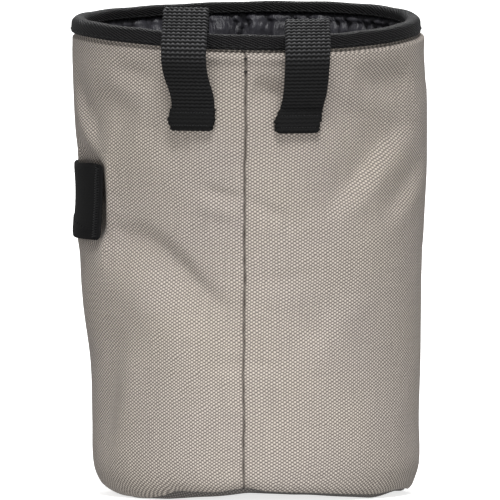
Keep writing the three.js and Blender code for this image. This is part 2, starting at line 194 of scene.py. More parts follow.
def wall_normal(turn, up):
    round_way = smooth_wall(turn + 0.5, up) - smooth_wall(turn - 0.5, up)
    high = np.minimum(up + 0.004, 1)
    rise = smooth_wall(turn, high) - smooth_wall(turn, high - 0.008)
    return unit(np.cross(round_way, rise))


# Each crease runs along a line of places from left to right, across and high in millimetres, measured along
# the cloth from the middle of the back and up from the ground. The cloth is pressed in deepest at the line,
# comes out again over one width above it and another below it, and may stand a little proud below.
crease_strength = 1.35
creases = [  # name, deep, above, below, proud, line
    (
        "left diagonal crease", 2.0, 4.0, 11.0, 0.15,
        [(-60, 88.5), (-48, 88), (-37, 86), (-28, 80.5), (-20, 73), (-13, 67), (-4, 60)],
    ),
    ("left pucker at the seam", 0.8, 1.8, 3.0, 0.9, [(-17, 104), (-10, 102.6), (-1.6, 100.8)]),
    ("right pucker at the seam", 0.75, 1.7, 3.2, 0.35, [(-1.6, 100.4), (5, 98), (12, 94.6)]),
    ("line right of the seam", 0.3, 1.8, 4.0, 0.6, [(-1, 74.8), (10, 74.8), (25, 76.6)]),
    ("low pucker left", 0.3, 1.6, 3.0, 0.6, [(-12, 46.2), (-7, 46.4), (-1.6, 46.8)]),
    ("low pucker right", 0.3, 1.6, 3.0, 0.6, [(-1.6, 47), (4, 46.2), (10, 44)]),
    ("right valley", 1.75, 9.0, 3.6, 0.35, [(24, 97), (35, 106), (45, 115), (55, 122), (64, 127)]),
    ("second valley", 1.1, 6.5, 3.8, 0.3, [(46, 93), (55, 99.5), (64, 106), (74, 113)]),
    ("right upper fold", 1.9, 5.5, 9.0, 0.1, [(22, 138), (29, 131), (38, 126.5), (54, 125)]),
    ("right shoulder dent", 2.0, 5.0, 7.0, 0.1, [(36, 141), (50, 138.6), (68, 139.5)]),
    ("pucker beside the strap", 2.7, 3.2, 6.0, 0.1, [(1, 138.5), (8, 136.5), (17, 131)]),
    ("left upper dent", 1.8, 6.0, 10.0, 0, [(-66, 128), (-52, 131), (-39, 127)]),
    ("left shoulder strip", 1.0, 3.2, 5, 0.1, [(-50, 142.6), (-40, 141.8), (-30, 139)]),
    ("left edge valley", 1.0, 5.0, 3.4, 0.5, [(-74, 139), (-66, 128), (-58, 117)]),
    ("under the brush loop", 0.6, 3.5, 8.0, 0, [(-96, 82), (-80, 80), (-64, 82)]),
    ("left low valley", 0.9, 9.0, 6.0, 0.5, [(-66, 12), (-62, 30), (-57, 47), (-50, 57)]),
    ("left low hollow", 1.0, 11.0, 14, 0, [(-66, 72), (-55, 62), (-42, 55), (-34, 44)]),
    ("right low hollow", 0.5, 14.0, 12.0, 0.3, [(38, 62), (46, 48), (62, 30)]),
    ("faint ridge", 0.35, 9.0, 5.0, 0.8, [(13, 50), (24, 62), (34, 76)]),
    ("left of the strap", 0.5, 5.0, 5.0, 0.3, [(-36, 127), (-29, 119), (-20, 115)]),
    ("left lean", 2.6, 38, 14, 0, [(-58, 88), (-46, 86), (-27, 80), (-8, 70)]),
    ("right lean", 1.6, 26, 7, 0, [(22, 96), (45, 113), (72, 128)]),
    ("above the brush loop", 2.7, 3.4, 2.6, 0, [(-86, 114), (-73, 114.5), (-60, 110)]),
    ("front hollow", 1.6, 10, 12, 0.1, [(150, 92), (163, 86), (180, 84)]),
    ("front crease", 1.5, 3.6, 9.0, 0.2, [(88, 82), (112, 68), (130, 56)]),
    ("front upper crease", 1.4, 3.2, 6, 0.3, [(100, 132), (122, 124), (146, 128)]),
    ("front left crease", 1.5, 3.6, 7, 0.3, [(-150, 118), (-132, 108), (-118, 110)]),
    ("front low crease", 1.3, 4, 8, 0.2, [(-160, 48), (-140, 40), (-116, 44)]),
    ("front middle pucker", 0.8, 3, 5, 0.4, [(-178, 118), (-166, 112), (-156, 113)]),
]


def crease_press(across, high, deep, above, below, proud, line):
    """How far one crease presses the cloth in: deepest at the middle of its line, fading to its ends."""
    line = np.array(line, float)
    stops = np.linspace(0, 1, len(line))
    t = np.linspace(0, 1, 33)
    path_across = curve_through(stops, line[:, 0], t)
    path_high = curve_through(stops, line[:, 1], t)
    reach = 2.4 * max(above, 1.8 * below)
    press = np.zeros(across.shape)
    near = (across > path_across.min() - reach) & (across < path_across.max() + reach)
    near &= (high > path_high.min() - reach) & (high < path_high.max() + reach)
    away = np.stack([across[near][:, None] - path_across, high[near][:, None] - path_high], -1)
    distance = np.linalg.norm(away, axis=-1)
    k = distance.argmin(1)
    off = distance[np.arange(len(k)), k]
    direction = np.stack([np.gradient(path_across), np.gradient(path_high)], -1)
    offset = away[np.arange(len(k)), k]
    over = direction[k, 0] * offset[:, 1] > direction[k, 1] * offset[:, 0]
    strength = deep * np.sin(np.pi * (0.03 + 0.94 * t[k])) ** 0.8
    trough = np.exp(-((off / np.where(over, above, below)) ** 2))
    bulge = np.exp(-(((off - 1.9 * below) / below) ** 2)) * ~over
    press[near] = strength * (trough - proud * bulge)
    return press


seam_groove = 0.75


def seam_at(up):
    """The turn at which the seam runs: it wanders a little on its way down."""
    return -2.3 + 1.2 * up + 0.12 * np.sin(up * 17) + 0.08 * np.sin(up * 41 + 1)


def soft_waves(across, high):
    """The slow unevenness of a handled panel, and finer puckers along the seam and the neck."""
    slow = np.sin(across / 13.1 + high / 23.7 + 0.8) * np.sin(high / 17.3 - across / 37.0 + 2.1)
    slow += 0.6 * np.sin(across / 7.9 - high / 11.3 + 4.0) * np.sin(high / 9.1 + across / 29.0 + 0.4)
    from_seam = np.abs(across + 1.6)
    puckers = np.sin(high / 1.75 + 1.3 * np.sin(high / 9.0)) * np.exp(-((from_seam / 5.5) ** 2))
    puckers *= 0.5 + 0.5 * np.sin(high / 13.0 + 1.0)
    from_rim = np.clip(154.5 - high, 0, None)
    neck = np.sin(across / 1.9 + 1.7 * np.sin(across / 11.0)) * np.exp(-((from_rim / 5.0) ** 2))
    return 0.22 * slow + 0.13 * puckers + 0.16 * neck


band_from, band_to = -113, -57
band_height = 25.3
band_middle = 98.4
band_spread = band_to - band_from
dent_depth = 6.0


def brush_dent(turn, up):
    """The dent behind the brush loop, which leaves room for a brush's handle."""
    z = height_at(turn, up)
    level = 1 - smoothstep(np.abs(z - band_middle), band_height / 2 * 0.4, band_height / 2 * 1.4)
    middle = band_from + band_spread * 0.7
    round_way = 1 - smoothstep(np.abs(wrapped(turn - middle)), band_spread * 0.08, band_spread * 0.33)
    return dent_depth * level * round_way


def cloth_press(turn, up):
    """How far the wall is pressed in at a place by all its creases."""
    turn, up = np.broadcast_arrays(turn, up)
    across = np.radians(wrapped(turn)) * mean_radius
    high = height_at(turn, up)
    press = soft_waves(across, high)
    for _, *shape in creases:
        press = press + crease_strength * crease_press(across, high, *shape)
    press = press * smoothstep(up, 0.01, 0.08) * (1 - smoothstep(up, 0.93, 0.968))
    swelling = 1.1 * np.exp(-(((high - rim_height(turn) + 5.4) / 1.9) ** 2)) * np.exp(-((across / 24) ** 4))
    press = press - swelling
    groove = seam_groove * (1 - smoothstep(np.abs(wrapped(turn - seam_at(up))), 0, 1.3))
    return press + groove * (1 - smoothstep(up, 0.95, 0.968))


def wall_point(turn, up, depth):
    inward = depth + cloth_press(turn, up) + brush_dent(turn, up)
    return smooth_wall(turn, up) - wall_normal(turn, up) * inward[..., None]


def grid_faces(rows, columns, rows_close=False, columns_close=False):
    """The four-sided faces of a grid of points that are numbered row by row."""
    i = np.arange(rows if rows_close else rows - 1)[:, None]
    j = np.arange(columns if columns_close else columns - 1)[None, :]
    below = (i + 1) % rows
    beside = (j + 1) % columns
    quads = [i * columns + j, i * columns + beside, below * columns + beside, below * columns + j]
    return np.stack(np.broadcast_arrays(*quads), -1).reshape(-1, 4)


def outward(points, faces):
    """The faces turned so that their outer side is outside the closed body they make."""
    total = 0.0
    middle = points.mean(0)
    for face_list in faces:
        for k in range(1, face_list.shape[1] - 1):
            a, b, c = (points[face_list[:, n]] - middle for n in (0, k, k + 1))
            total += np.einsum("ij,ij->i", a, np.cross(b, c)).sum()
    return faces if total > 0 else [face_list[:, ::-1] for face_list in faces]


def make_piece(name, points, faces, stands_for=(), sheet_map=None, round_length=None):
    """A closed body from points in millimetres. sheet_map is each point's place on the flat cloth, and
    round_length the cloth's length where it goes all the way round, for the faces that close the ring."""
    points = points.reshape(-1, 3)
    faces = outward(points, [np.asarray(face_list) for face_list in faces])
    corners = np.concatenate([face_list.ravel() for face_list in faces])
    sizes = np.concatenate([np.full(len(face_list), face_list.shape[1]) for face_list in faces])
    mesh = bpy.data.meshes.new(name)
    mesh.vertices.add(len(points))
    mesh.vertices.foreach_set("co", ((points + to_frame) * 0.001).astype(np.float32).ravel())
    mesh.loops.add(len(corners))
    mesh.loops.foreach_set("vertex_index", corners.astype(np.int32))
    mesh.polygons.add(len(sizes))
    mesh.polygons.foreach_set("loop_start", np.concatenate([[0], np.cumsum(sizes)[:-1]]).astype(np.int32))
    mesh.polygons.foreach_set("use_smooth", np.ones(len(sizes), bool))
    if sheet_map is not None:
        places = sheet_map.reshape(-1, 2)[corners]
        if round_length is not None:
            face_of = np.repeat(np.arange(len(sizes)), sizes)
            farthest = np.zeros(len(sizes))
            np.maximum.at(farthest, face_of, places[:, 0])
            closing = places[:, 0] < farthest[face_of] - round_length / 2
            places[closing, 0] += round_length
        layer = mesh.uv_layers.new(name="cloth")
        layer.data.foreach_set("uv", places.astype(np.float32).ravel())
    mesh.update(calc_edges=True)
    mesh.validate()
    piece = bpy.data.objects.new(name, mesh)
    bpy.context.scene.collection.objects.link(piece)
    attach(piece, "root")
    if stands_for:
        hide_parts(*stands_for)
    return piece


# The rings start and end at the seam, where the panel's two edges meet, and stand close together there.
beside_seam = np.array([0, 0.22, 0.45, 0.7, 1.0, 1.35, 1.8, 2.3, 3.0, 3.8])
wall_turns = np.concatenate([beside_seam, np.linspace(4.8, 355.2, 351), (360 - beside_seam[1:])[::-1]])
hem_ups = [0, 0.003, 0.007, 0.012]
wall_ups = np.concatenate([hem_ups, np.linspace(0.018, 0.93, 140), np.linspace(0.934, 1, 34)])
lining_side_ups = np.linspace(0, 1, 60)
grid_turn, grid_up = np.meshgrid(wall_turns, wall_ups, indexing="ij")
grid_turn = grid_turn + seam_at(grid_up)
hem_roll = 0.5 * np.clip(1 - grid_up / 0.012, 0, 1) ** 2
outer_face = wall_point(grid_turn, grid_up, hem_roll)
inner_turn, inner_up = np.meshgrid(wall_turns, lining_side_ups[::-1], indexing="ij")
inner_turn = inner_turn + seam_at(inner_up)
inner_face = wall_point(inner_turn, inner_up, np.where(inner_up == 0, 0.6, cloth))
wall_points = np.concatenate([outer_face, inner_face], 1)

# The flat panel: how far each place is round from the seam's left edge, and how high up the cloth.
middle_ring = smooth_wall(np.linspace(0, 360, 721), 0.5)
ring_steps = np.linalg.norm(np.diff(middle_ring, axis=0), axis=1)
round_so_far = np.concatenate([[0], np.cumsum(ring_steps)])
panel_length = round_so_far[-1]
place_round = np.interp(wall_turns, np.linspace(0, 360, 721), round_so_far)
panel_round = np.broadcast_to(place_round[:, None], wall_points.shape[:2])
panel_map = np.stack([panel_round, wall_points[..., 2]], -1)
wall_faces = [grid_faces(*wall_points.shape[:2], True, True)]
shell_cloth = make_piece(
    "shell_cloth", wall_points, wall_faces, ["shell_wall"], panel_map, panel_length
)


def node(tree, kind, *feeds, **settings):
    """Adds a node. Its feeds go to its inputs in order: a socket is linked, a value is set, None is left."""
    made = tree.nodes.new(kind)
    for name, value in settings.items():
        setattr(made, name, value)
    for socket, feed in zip(made.inputs, feeds):
        if isinstance(feed, bpy.types.NodeSocket):
            tree.links.new(feed, socket)
        elif feed is not None:
            socket.default_value = feed
    return made


def maths(tree, operation, *feeds, clamp=False):
    return node(tree, "ShaderNodeMath", *feeds, operation=operation, use_clamp=clamp).outputs[0]


def waves(tree, operation, x, pitch):
    """The sine or cosine of x, with one whole wave in each pitch."""
    return maths(tree, operation, maths(tree, "MULTIPLY", x, 2 * np.pi / pitch))


def blended(tree, share, first, second):
    """The first colour where share is 0, and the second where it is 1."""
    made = node(tree, "ShaderNodeMix", data_type="RGBA")
    for socket, feed in ((made.inputs[0], share), (made.inputs[6], first), (made.inputs[7], second)):
        if isinstance(feed, bpy.types.NodeSocket):
            tree.links.new(feed, socket)
        else:
            socket.default_value = feed
    return made.outputs[2]


def noise(tree, place, scale, detail=2.0, rough=0.5):
    made = node(tree, "ShaderNodeTexNoise", place)
    made.inputs["Scale"].default_value = scale
    made.inputs["Detail"].default_value = detail
    made.inputs["Roughness"].default_value = rough
    return made.outputs[0]


def on_cloth(tree, across_scale=1.0, up_scale=1.0):
    """A place on the flat cloth in millimetres, stretched by the two scales, and its two parts."""
    place = node(tree, "ShaderNodeUVMap", uv_map="cloth").outputs[0]
    parts = node(tree, "ShaderNodeSeparateXYZ", place)
    across = maths(tree, "MULTIPLY", parts.outputs[0], across_scale)
    up = maths(tree, "MULTIPLY", parts.outputs[1], up_scale)
    return node(tree, "ShaderNodeCombineXYZ", across, up).outputs[0], across, up


def cloth_noise(tree, across_scale, up_scale, detail, rough=0.5):
    return noise(tree, on_cloth(tree, across_scale, up_scale)[0], 1.0, detail, rough)


def new_material(name, roughness, sheen=0.0, specular=0.5):
    material = bpy.data.materials.new(name)
    material.use_nodes = True
    shader = material.node_tree.nodes["Principled BSDF"]
    shader.inputs["Roughness"].default_value = roughness
    shader.inputs["Specular IOR Level"].default_value = specular
    shader.inputs["Sheen Weight"].default_value = sheen
    shader.inputs["Sheen Roughness"].default_value = 0.5
    return material, material.node_tree


def dress(pieces, material, colour, height, distance, strength):
    """Gives pieces a material with its colour, and relief whose height of 1 is distance in millimetres."""
    tree = material.node_tree
    shader = tree.nodes["Principled BSDF"]
    tree.links.new(colour, shader.inputs["Base Color"])
    bump = node(tree, "ShaderNodeBump")
    bump.inputs["Strength"].default_value = strength
    bump.inputs["Distance"].default_value = distance * 0.001
    tree.links.new(height, bump.inputs["Height"])
    tree.links.new(bump.outputs[0], shader.inputs["Normal"])
    for piece in pieces:
        piece.data.materials.append(material)


def plain_weave(tree, yarn_across, yarn_up, wander):
    """A coarse plain weave, seen as rows of round crossings, 1 at their tops and 0 between them. Its yarns
    wander by up to half of wander each way, in millimetres."""
    place, across, up = on_cloth(tree)
    drift = noise(tree, place, 0.22, 2.0)
    drift = maths(tree, "MULTIPLY_ADD", drift, wander, -wander / 2)
    across = maths(tree, "ADD", across, drift)
    up = maths(tree, "SUBTRACT", up, drift)
    warp = waves(tree, "COSINE", across, 2 * yarn_across)
    weft = waves(tree, "COSINE", up, 2 * yarn_up)
    columns = waves(tree, "COSINE", across, yarn_across)
    tops = maths(tree, "MULTIPLY_ADD", columns, 0.27, maths(tree, "MULTIPLY", warp, weft))
    return maths(tree, "MULTIPLY_ADD", tops, 0.5, 0.345, clamp=True), place, across


material, tree = new_material("coarse stone polyester", 0.85, sheen=0.05, specular=0.2)
weave, place, across = plain_weave(tree, 0.89, 0.555, 0.85)
warp_yarns = cloth_noise(tree, 1.1, 0.07, 2.0)
weft_yarns = cloth_noise(tree, 0.06, 1.7, 2.0)
fibres = cloth_noise(tree, 3.0, 3.0, 3.0)
# The colour runs from near black in the gaps between the yarns to pale beige on the crowns: painted shade in
# the gaps and a painted highlight on the crowns, over the yarns' own uneven tone.
weave_light_shade_and_tone = maths(tree, "MULTIPLY_ADD", weave, 1.0, 0.06)
uneven = maths(tree, "MULTIPLY_ADD", maths(tree, "ADD", warp_yarns, weft_yarns), 0.5, 0.02)
weave_light_shade_and_tone = maths(tree, "MULTIPLY", weave_light_shade_and_tone, maths(tree, "MULTIPLY_ADD", uneven, 0.7, 0.66), clamp=True)
weave_light_shade_and_tone = maths(tree, "MULTIPLY", weave_light_shade_and_tone, maths(tree, "MULTIPLY_ADD", fibres, 0.5, 0.75), clamp=True)
colour = blended(tree, weave_light_shade_and_tone, (0.085, 0.074, 0.069, 1), (0.66, 0.598, 0.533, 1))
patches = noise(tree, place, 0.028, 3.0)
tint = blended(tree, patches, (0.955, 0.94, 0.975, 1), (1.03, 1.02, 0.965, 1))
tinted = node(tree, "ShaderNodeMix", data_type="RGBA", blend_type="MULTIPLY")
tinted.inputs[0].default_value = 1.0
tree.links.new(colour, tinted.inputs[6])
tree.links.new(tint, tinted.inputs[7])
from_seam = maths(tree, "MINIMUM", across, maths(tree, "SUBTRACT", panel_length, across))
seam_dark = maths(tree, "SMOOTH_MIN", maths(tree, "MULTIPLY", from_seam, 1.7), 1.0, 0.4, clamp=True)
colour = blended(tree, seam_dark, (0.045, 0.036, 0.03, 1), tinted.outputs[2])
height = maths(tree, "MULTIPLY_ADD", fibres, 0.25, weave)
dress([shell_cloth], material, colour, height, 0.12, 0.8)

# The base
# A round of dark coarse polyester. Its edge is turned up inside the wall as the seam allowance, so it only
# shows as a dark line where the hem stands clear of the ground.


def base_height(turn):
    return hem_lift * np.maximum(0, curve_through(hem_rows[:, 0], hem_rows[:, 2], wrapped(turn)))


def floor_point(turn, share, z):
    """A place on a level round that has the hem's outline, share of the way out from its middle."""
    hem = smooth_wall(turn, np.zeros_like(turn))
    return np.stack(np.broadcast_arrays(hem[..., 0] * share, hem[..., 1] * share, z), -1)


def pan_faces(rings, around):
    """A pan's faces: its rings run from the middle of its underside, round its edge, to the middle of its
    inside, and the two points after them close it there."""
    ring = np.arange(around)
    beside = (ring + 1) % around
    last = (rings - 1) * around
    bottom_fan = np.stack([beside, np.full(around, rings * around), ring], -1)
    top_fan = np.stack([last + ring, np.full(around, rings * around + 1), last + beside], -1)
    return [grid_faces(rings, around, False, True)[:, ::-1], bottom_fan, top_fan]


base_turns = np.linspace(-180, 180, 181)[:-1]
lift = base_height(base_turns)
outside = cloth + sewn_gap
inside = outside + cloth
under = []
for share in np.linspace(0.04, 0.84, 21):
    press = 0.35 * np.sin(share * 9) * np.sin(np.radians(base_turns) * 3 + share * 5)
    lift_here = lift * share**0.75 + np.maximum(press, 0) * (1 - share)
    under.append(floor_point(base_turns, share, lift_here))
under += [
    floor_point(base_turns, 0.87, lift * 0.91),
    floor_point(base_turns, 0.91, lift * 0.95),
    floor_point(base_turns, 0.945, lift),
    floor_point(base_turns, 0.965, lift + 0.35),
]
upturned_edge = [
    (0.004, outside),
    (0.02, outside),
    (0.047, outside),
    (0.047, inside),
    (0.02, inside + 0.4),
]
for up_share, depth in upturned_edge:
    under.append(wall_point(base_turns, up_share, depth))
for share in (0.84, 0.62, 0.4, 0.04):
    under.append(floor_point(base_turns, share, lift * share**0.75 + cloth))
under = np.stack(under)
rings, around = under.shape[:2]
base_points = np.concatenate([under.reshape(-1, 3), [[0, 0, 0.0], [0, 0, cloth]]])
from_middle = np.maximum(np.linalg.norm(base_points[:, :2], axis=1, keepdims=True), 1.0)
base_map = base_points[:, :2] * (1 + base_points[:, 2:] / from_middle)
base_cloth = make_piece(
    "base_cloth", base_points, pan_faces(rings, around), ["base_panel"], base_map
)

material, tree = new_material("coarse dark polyester", 0.85, sheen=0.05, specular=0.2)
weave = plain_weave(tree, 0.7, 0.7, 0.5)[0]
fibres = cloth_noise(tree, 3.0, 3.0, 3.0)
# As on the wall, the weave is painted darker in its gaps and lighter on its crowns: painted shade and
# highlight.
weave_light_shade_and_tone = maths(tree, "MULTIPLY", weave, maths(tree, "MULTIPLY_ADD", fibres, 0.8, 0.6), clamp=True)
colour = blended(tree, weave_light_shade_and_tone, (0.055, 0.05, 0.047, 1), (0.23, 0.21, 0.195, 1))
height = maths(tree, "MULTIPLY_ADD", fibres, 0.4, weave)
dress([base_cloth], material, colour, height, 0.14, 0.9)

# The lining
# A thin charcoal nylon pouch, wider than the wall it hangs in, so it puckers below the binding that holds
# it and falls in loose folds to a level floor.

# A valley leans by some degrees on its way 20 mm down, and a puff as deep as full follows it.
valleys = np.array([  # turn, lean, full
    [-179, 5, 3.0],
    [-173.5, -8, 3.8],
    [-166.5, 7, 2.6],
    [-159, -4, 3.4],
    [-150.5, 6, 2.8],
    [-143, -5, 3.3],
    [-136, 4, 2.4],
    [-128.5, -6, 3.2],
    [-119, 5, 2.8],
    [-108, -4, 3.4],
    [-97, 6, 2.8],
    [-86, -5, 3.5],
    [-74, 4, 2.7],
    [-63, -4, 3.2],
    [-51, 5, 2.2],
    [-38, -3, 2.0],
    [-8, 3, 2.4],
    [2, -3, 2.0],
    [36, 3, 2.4],
    [49, -5, 3.2],
    [61, 4, 2.7],
    [73, -6, 3.3],
    [84, 5, 2.8],
    [96, -4, 3.4],
    [108, 6, 2.7],
    [120, -5, 3.4],
    [127.5, 5, 2.5],
    [134.5, -4, 3.3],
    [141, 6, 2.7],
    [148, -6, 3.6],
    [157, 4, 2.8],
    [164.5, -5, 3.1],
    [171.5, 9, 3.6],
    [181, 5, 3.0],
])
hang_rows = np.array([  # up, how far the pouch hangs in from the wall, as a share of its slack
    [0, 0.5],
    [0.12, 0.55],
    [0.4, 0.7],
    [0.62, 1.0],
    [0.8, 0.75],
    [0.92, 0.4],
    [0.955, 0.22],
    [0.97, 0.12],
    [0.98, 0.06],
    [0.99, 0],
    [1, 0],
])
pouch_slack = 6.8
pouch_floor = 5.2
pouch_floor_thickness = 1.2
pouch_radius = 50
left_strap_x, right_strap_x = -21.0, 19.4
strap_turns = np.degrees(np.arcsin((np.array([left_strap_x, right_strap_x]) - rim_shift) / rim_half_width))


def puff_depth(turn, up):
    """The puffs that the gathered edge makes below the binding, and flat where a strap's end is sewn on."""
    turn, up = np.broadcast_arrays(wrapped(turn), up)
    down = (1 - up) * wall_height
    lean = valleys[:, 1] * (down[..., None] / 20) * np.exp(-down[..., None] / 45)
    at = valleys[:, 0] + lean
    depth = np.zeros(turn.shape)
    for k in range(-1, len(valleys) - 1):
        start = at[..., k] - (360 if k < 0 else 0)
        share = (turn - start) / (at[..., k + 1] - start)
        puff = np.sin(np.pi * np.clip(share, 0, 1)) ** 0.62 * (0.85 + 0.15 * np.cos(3 * np.pi * share))
        depth = depth + np.where((share > 0) & (share < 1), puff * valleys[k, 2], 0)
    depth = depth * (0.4 + 0.6 * np.exp(-down / 26)) * 1.25 * smoothstep(down, 0.5, 8)
    wrinkles = np.sin(np.radians(turn) * 37 + down / 3.1) * np.sin(np.radians(turn) * 11 - down / 7.7 + 1)
    depth = depth + 0.25 * (1 + wrinkles) * smoothstep(down, 3, 8)
    for strap_turn in strap_turns:
        beside = smoothstep(np.abs(wrapped(turn - strap_turn)), 10, 15)
        depth = depth * (1 - (1 - beside) * (1 - smoothstep(down, 18, 27)))
    return depth


def lining_point(turn, up, depth):
    turn, up = np.broadcast_arrays(turn, up)
    hang = pouch_slack * np.maximum(0, curve_through(hang_rows[:, 0], hang_rows[:, 1], up))
    inward = cloth + sewn_gap + hang + puff_depth(turn, up) + depth
    inward = inward + 0.6 * np.maximum(cloth_press(turn, up), 0) * (1 - smoothstep(up, 0.86, 0.93))
    # The wall leans in at the neck, and the lining hangs in level from it there.
    level = wall_normal(turn, up)
    level[..., 2] *= 1 - smoothstep(up, 0.84, 0.92)
    return smooth_wall(turn, up) - unit(level) * inward[..., None]


lining_turns = np.linspace(-180, 180, 421)[:-1]
side_ups = np.linspace(0.05, 0.8, 34)
puff_ups = np.linspace(0.81, 0.95, 26)
edge_ups = np.linspace(0.953, 1, 17)
pouch_ups = np.concatenate([side_ups, puff_ups, edge_ups])
pouch_inside = pouch_floor + pouch_floor_thickness
profile = []
for share in np.linspace(0.06, 0.9, 9):
    profile.append(floor_point(lining_turns, share, pouch_floor))
for up_share in pouch_ups:
    profile.append(lining_point(lining_turns, up_share, 0.0))
for up_share in pouch_ups[::-1]:
    profile.append(lining_point(lining_turns, up_share, cloth * 0.6))
for share in np.linspace(0.88, 0.06, 16):
    ripple = 0.5 * np.sin(np.radians(lining_turns) * 4 + share * 7) * np.sin(share * 8 + 1)
    profile.append(floor_point(lining_turns, share, pouch_inside + ripple * min(1, share * 2)))
profile = np.stack(profile)
rings, around = profile.shape[:2]
lining_points = np.concatenate([profile.reshape(-1, 3), [[0, 0, pouch_floor], [0, 0, pouch_inside]]])
down_cloth = np.concatenate([[0], np.cumsum(np.linalg.norm(np.diff(profile, axis=0), axis=-1).mean(1))])
lining_round = np.radians(lining_turns + 180) * pouch_radius
lining_map = np.stack(np.broadcast_arrays(lining_round[None, :], down_cloth[:, None]), -1).reshape(-1, 2)
lining_map = np.concatenate([lining_map, [[0, 0], [0, down_cloth[-1]]]])
pouch_length = 2 * np.pi * pouch_radius
pouch_faces = pan_faces(rings, around)
lining_nylon = make_piece(
    "lining_nylon", lining_points, pouch_faces, ["lining"], lining_map, pouch_length
)

material, tree = new_material("charcoal nylon", 0.42, sheen=0.03, specular=0.35)
crease_relief_and_shade = cloth_noise(tree, 0.22, 0.06, 4.0, 0.6)
crease_relief_and_shade = maths(tree, "MULTIPLY_ADD", crease_relief_and_shade, 2.2, -0.6, clamp=True)
fine = cloth_noise(tree, 2.6, 2.6, 2.0)
# The same crease pattern raises the bump and paints the nylon darker in its hollows and lighter on its
# ridges: painted shade and painted highlight.
colour = blended(tree, crease_relief_and_shade, (0.01, 0.0098, 0.013, 1), (0.05, 0.0488, 0.059, 1))
height = maths(tree, "MULTIPLY_ADD", fine, 0.12, crease_relief_and_shade)
dress([lining_nylon], material, colour, height, 1.4, 0.7)

# The binding
# Black twill tape folded over the top edges of the wall and the lining, and stitched through near its
# lower edge. It is rounded on top, and its ribs run slantwise along it.
binding_turns = np.linspace(-180, 180, 401)[:-1]
arch = np.radians(np.linspace(0, 180, 19))
out_shares = np.concatenate([[1.0, 1.02, 1.02, 1.0], np.cos(arch), [-1.0, -1.02, -1.02, -1.0]])
lift_shares = np.concatenate(
    [[-1.0, -0.72, -0.4, -0.1], -0.02 + 1.02 * np.sin(arch) ** 0.72, [-0.08, -0.22, -0.38, -0.52]]
)
roof = binding_height / 2 - binding_tape
loops = []
for out, high in zip(out_shares, lift_shares):
    squeeze = 0.1 * np.sin(np.radians(binding_turns) * 46 + 2 * np.sin(np.radians(binding_turns) * 5))
    wander = 0.09 * np.sin(np.radians(binding_turns) * 17 + 1) + 0.07 * squeeze
    half_here = binding_half + 0.12 * squeeze * (high < 0.2)
    loops.append(rim_point(binding_turns, out * half_here, high * binding_height / 2 + wander))
inside_of_fold = [(-0.93, -0.55), (-0.6, -0.52), (-0.57, 0.3), (0.57, 0.3), (0.6, -1.0), (0.93, -1.03)]
for out, high in inside_of_fold:
    lift_here = high * binding_height / 2 if high < 0 else roof
    loops.append(rim_point(binding_turns, out * binding_half, lift_here))
loops = np.stack(loops, 1)
over_tape = np.concatenate([[0], np.cumsum(np.linalg.norm(np.diff(loops, axis=1), axis=-1).mean(0))])
rim_length = np.linalg.norm(np.roll(loops[:, 0], -1, 0) - loops[:, 0], axis=-1)
along_tape = np.concatenate([[0], np.cumsum(rim_length)[:-1]])
tape_map = np.stack(np.broadcast_arrays(along_tape[:, None], over_tape[None, :]), -1)
tape_faces = [grid_faces(*loops.shape[:2], True, True)]
binding_piece = make_piece(
    "binding_tape", loops, tape_faces, ["rim_binding"], tape_map, rim_length.sum()
)

material, tree = new_material("black twill tape", 0.55, sheen=0.02, specular=0.1)
place, across, up = on_cloth(tree)
drift = maths(tree, "MULTIPLY_ADD", noise(tree, place, 0.3, 2.0), 0.9, 0)
twill_slope = np.radians(21)
twill_pitch = 0.8
rise = maths(tree, "MULTIPLY", up, np.cos(twill_slope))
slant = maths(tree, "MULTIPLY_ADD", across, np.sin(twill_slope), rise)
twill = waves(tree, "SINE", maths(tree, "ADD", slant, drift), twill_pitch)
steps = waves(tree, "SINE", across, twill_pitch)
twill = maths(tree, "POWER", maths(tree, "MULTIPLY_ADD", twill, 0.5, 0.5), 1.7)
broken = maths(tree, "MULTIPLY_ADD", steps, 0.14, twill)
fuzz = cloth_noise(tree, 5.0, 5.0, 2.0)
colour = blended(tree, broken, (0.0005, 0.0005, 0.0006, 1), (0.025, 0.0245, 0.0255, 1))
height = maths(tree, "MULTIPLY_ADD", fuzz, 0.35, broken)
dress([binding_piece], material, colour, height, 0.24, 1.0)

# The belt loops
# Two lengths of black polypropylene webbing. Each comes up from inside the rim, arches over it, leaves room
# for a belt, and is folded under at its lower end and sewn down to the wall. Its ribs run across it, and
# each rib is a row of small slanting floats.
web_width = 16.3
web_sewn_width = 15.6
web_thickness = 1.4
stand = 6.0
sewn_length = 7.0
sewn_drop = 30.0
inner_drop = 13.0
rib_pitch = 1.34
float_width = 1.72
# Heights are from the middle of the binding: rise is the top of the arch, knee is where the strap starts to
# hang straight, and fold is where its ribs close up. sway is where it lies across the bag at each height.
belt_loops = {
    "left_strap": dict(
        x=left_strap_x,
        rise=9.7,
        knee=-3.2,
        fold=-2.7,
        node="belt_loop_left",
        sway=[
            (-30, -19.2), (-26, -19.3), (-22, -18.8), (-18, -19.2),
            (-13, -20.8), (-8, -21.8), (-3, -21.9), (8, -21.3),
        ],
    ),
    "right_strap": dict(
        x=right_strap_x,
        rise=6.7,
        knee=-5.2,
        fold=-5.3,
        node="belt_loop_right",
        sway=[(-30, 15.9), (-25.5, 16.3), (-21.5, 17.5), (-17, 18.55), (-10, 19.2), (-2, 19.55), (8, 19.4)],
    ),
}


